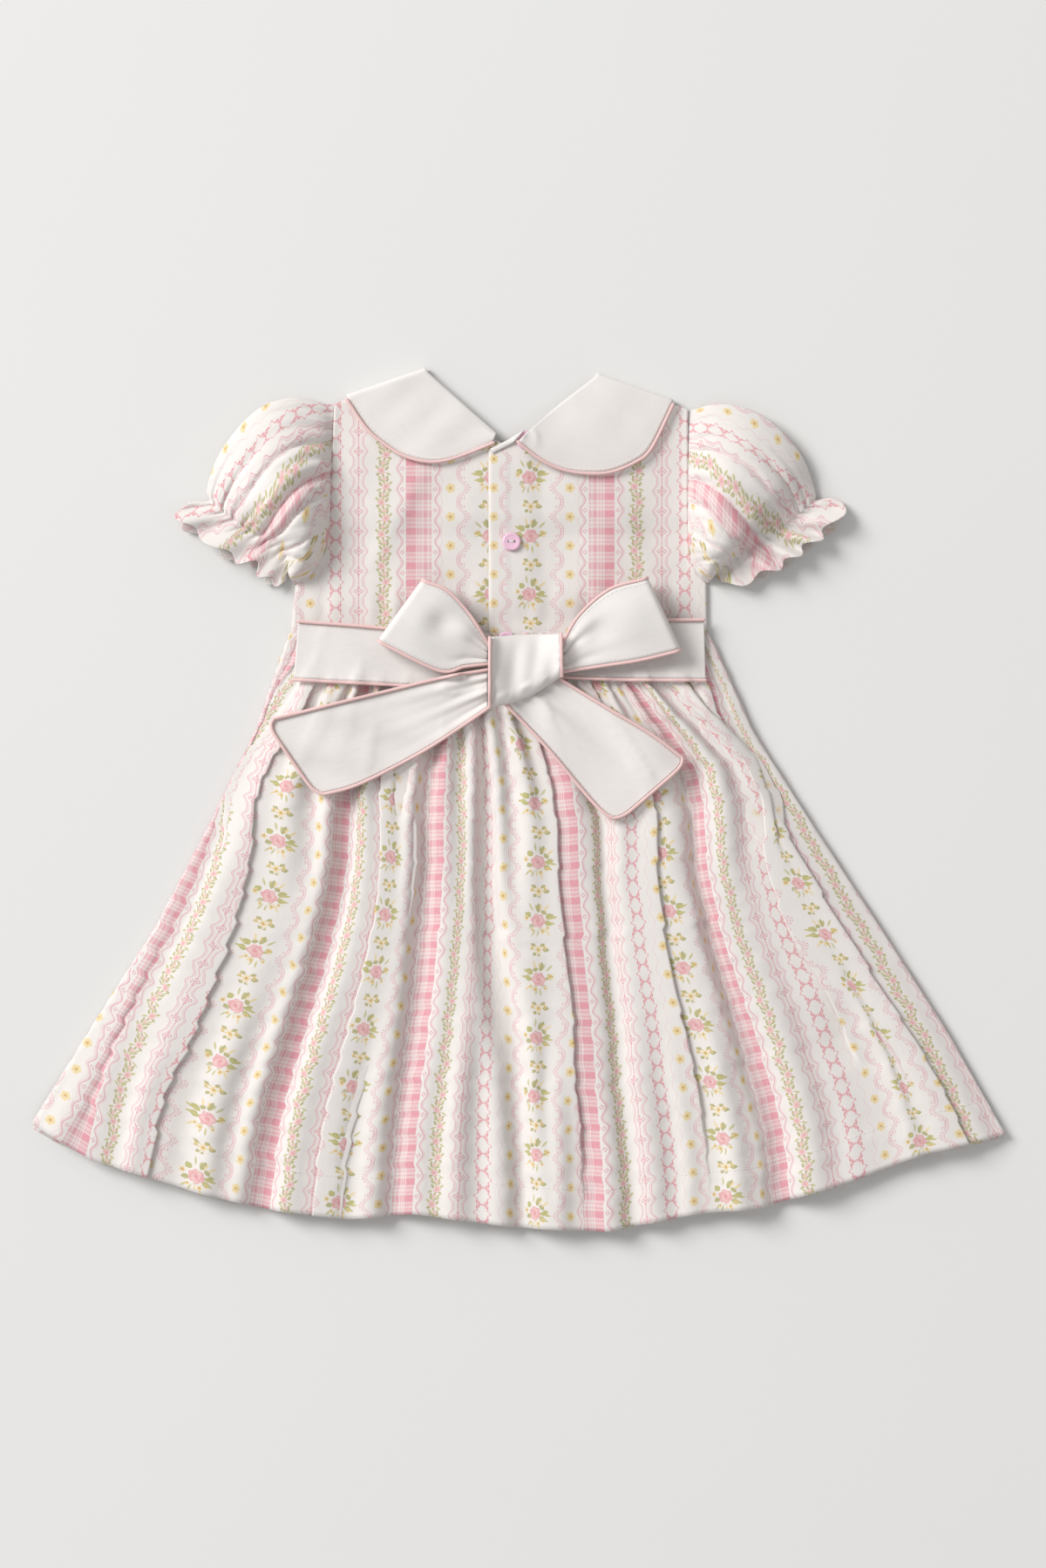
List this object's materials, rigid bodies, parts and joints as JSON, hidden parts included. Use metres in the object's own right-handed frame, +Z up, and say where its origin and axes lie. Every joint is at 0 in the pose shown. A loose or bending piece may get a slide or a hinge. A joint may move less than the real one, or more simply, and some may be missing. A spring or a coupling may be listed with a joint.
{
  "type": "toddler dress",
  "caption": "Short-sleeved toddler dress laid flat on its front, with puff sleeves, round collar, buttoned back, gathered skirt and a sash tied in a bow",
  "frame": {"origin": "centre of the box around the dress, on the surface it lies on", "axes": "+Y towards the collar, +Z up off the surface and out of the back of the dress, +X towards the wearer's right sleeve"},
  "size_m": [0.6443, 0.5704, 0.037],
  "materials": {
    "print_cotton": "matte woven cotton, off-white with a pink and yellow floral stripe",
    "plain_cotton": "matte woven cotton, off-white",
    "pink_piping": "matte bias-cut cotton over cord, pink",
    "button": "semi-gloss, pearly lilac pink"
  },
  "bodies": {
    "root": {"bodice_front": "print_cotton", "bodice_back_left": "print_cotton", "bodice_back_right": "print_cotton", "skirt_front": "print_cotton", "skirt_back": "print_cotton", "sleeve_left": "print_cotton", "sleeve_right": "print_cotton", "neck_binding": "plain_cotton", "collar_left": "plain_cotton", "collar_right": "plain_cotton", "sash_left": "plain_cotton", "sash_right": "plain_cotton", "bow_loop_left": "plain_cotton", "bow_loop_right": "plain_cotton", "bow_tail_left": "plain_cotton", "bow_tail_right": "plain_cotton", "bow_knot": "plain_cotton", "collar_piping_left": "pink_piping", "collar_piping_right": "pink_piping", "sash_piping_left_lower": "pink_piping", "sash_piping_left_upper": "pink_piping", "sash_piping_right_lower": "pink_piping", "sash_piping_right_upper": "pink_piping", "bow_loop_piping_left_lower": "pink_piping", "bow_loop_piping_left_upper": "pink_piping", "bow_loop_piping_right_lower": "pink_piping", "bow_loop_piping_right_upper": "pink_piping", "bow_tail_piping_left": "pink_piping", "bow_tail_piping_right": "pink_piping", "bow_knot_piping_left": "pink_piping", "bow_knot_piping_right": "pink_piping", "button_1": "button", "button_2": "button", "button_3": "button"}
  },
  "joints": []
}
